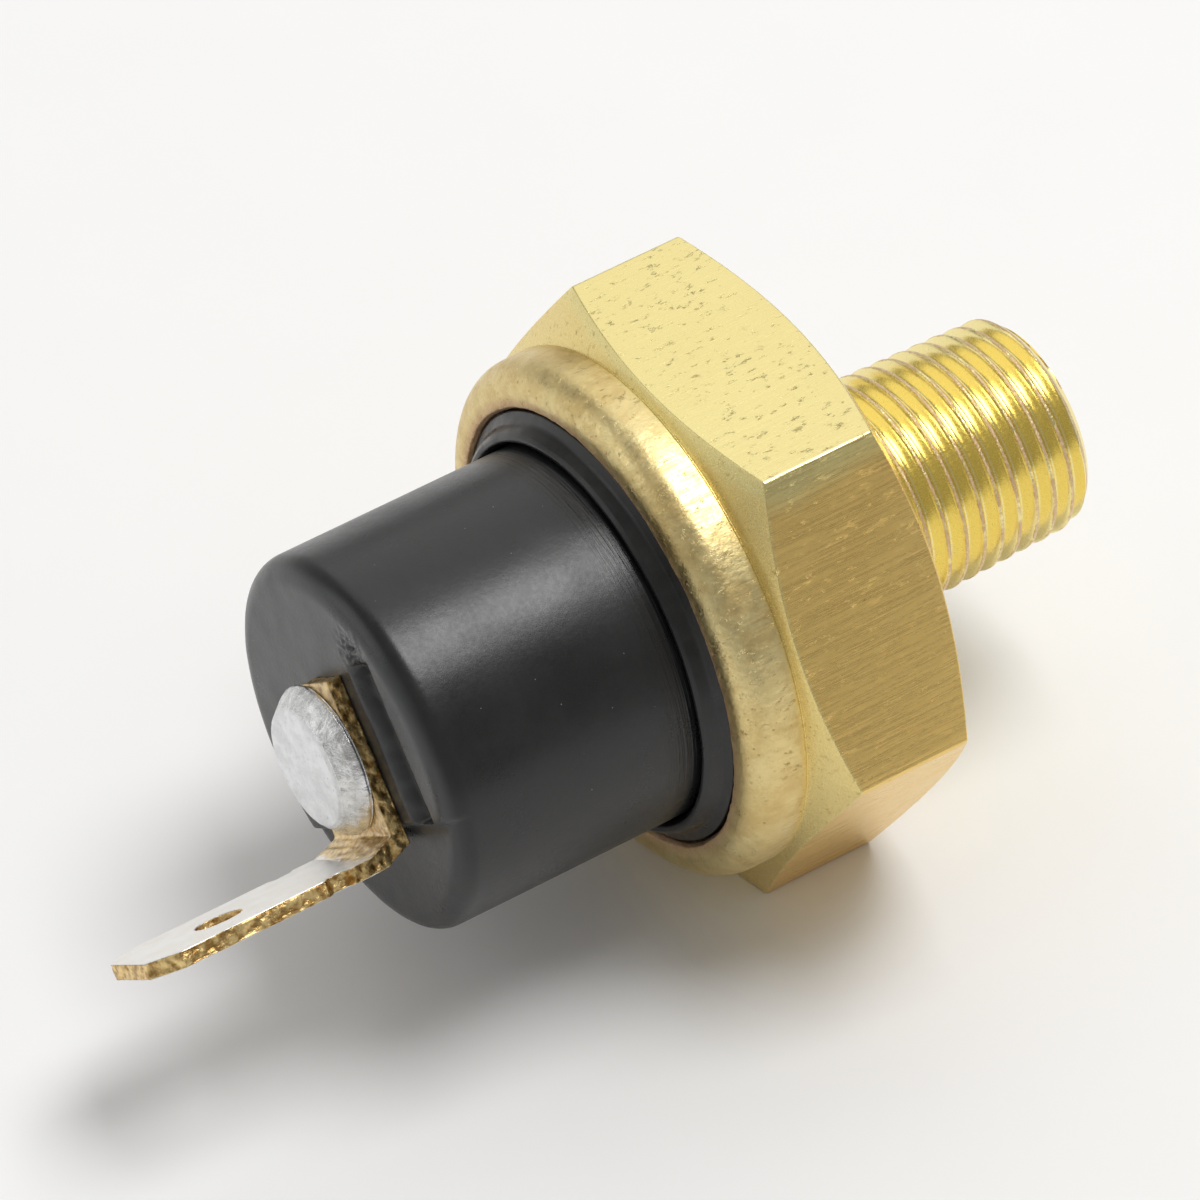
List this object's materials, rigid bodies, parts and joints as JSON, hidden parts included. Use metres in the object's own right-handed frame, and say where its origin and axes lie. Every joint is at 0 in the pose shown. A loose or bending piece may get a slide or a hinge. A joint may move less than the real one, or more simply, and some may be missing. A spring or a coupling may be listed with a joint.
{
  "type": "pressure switch",
  "caption": "Single-terminal diaphragm pressure switch with hexagon body, taper pipe thread, moulded cap and flat tab terminal.",
  "frame": {"origin": "on the axis, at the flat seat ring on the thread side of the hexagon", "axes": "+X out along the thread (the terminal points to -X), +Z is the normal of a hexagon flat"},
  "size_m": [0.0462, 0.0278, 0.024],
  "materials": {
    "body_brass": "turned brass, bright on the thread, scratched on the flats",
    "seal_rubber": "smooth",
    "guard_film": "satin film",
    "diaphragm_film": "gloss film",
    "ring_steel": "turned, plated",
    "plunger_plastic": "moulded",
    "contact_brass": "stamped",
    "contact_silver": "silver contact",
    "spring_steel": "drawn wire",
    "seat_brass": "stamped",
    "shim_steel": "rolled",
    "cap_phenolic": "satin moulding",
    "cap_seal_rubber": "satin",
    "rivet_metal": "scuffed",
    "terminal_brass": "rolled strip, sheared edges"
  },
  "bodies": {
    "switch": {"body": "body_brass", "seat_oring": "seal_rubber", "guard_film": "guard_film", "diaphragm": "diaphragm_film", "contact_ring": "ring_steel", "spring": "spring_steel", "spring_seat": "seat_brass", "shim": "shim_steel", "cap": "cap_phenolic", "cap_seal": "cap_seal_rubber", "rivet": "rivet_metal", "terminal": "terminal_brass"},
    "plunger": {"plunger": "plunger_plastic"},
    "moving_contact": {"contact_disc": "contact_brass", "contact_facing": "contact_silver"}
  },
  "joints": [
    {"name": "contact_slide", "type": "slide", "parent": "switch", "child": "moving_contact", "axis": [-1, 0, 0], "range_m": [0, 0.00045], "stiffness_N_per_m": 2400, "springref_m": -0.0022, "deforming": ["spring"]},
    {"name": "plunger_slide", "type": "slide", "parent": "switch", "child": "plunger", "axis": [-1, 0, 0], "range_m": [0, 0.00045], "deforming": ["diaphragm", "guard_film"]}
  ],
  "couplings": [
    {"joint": "plunger_slide", "follows": "contact_slide", "ratio": 1}
  ]
}
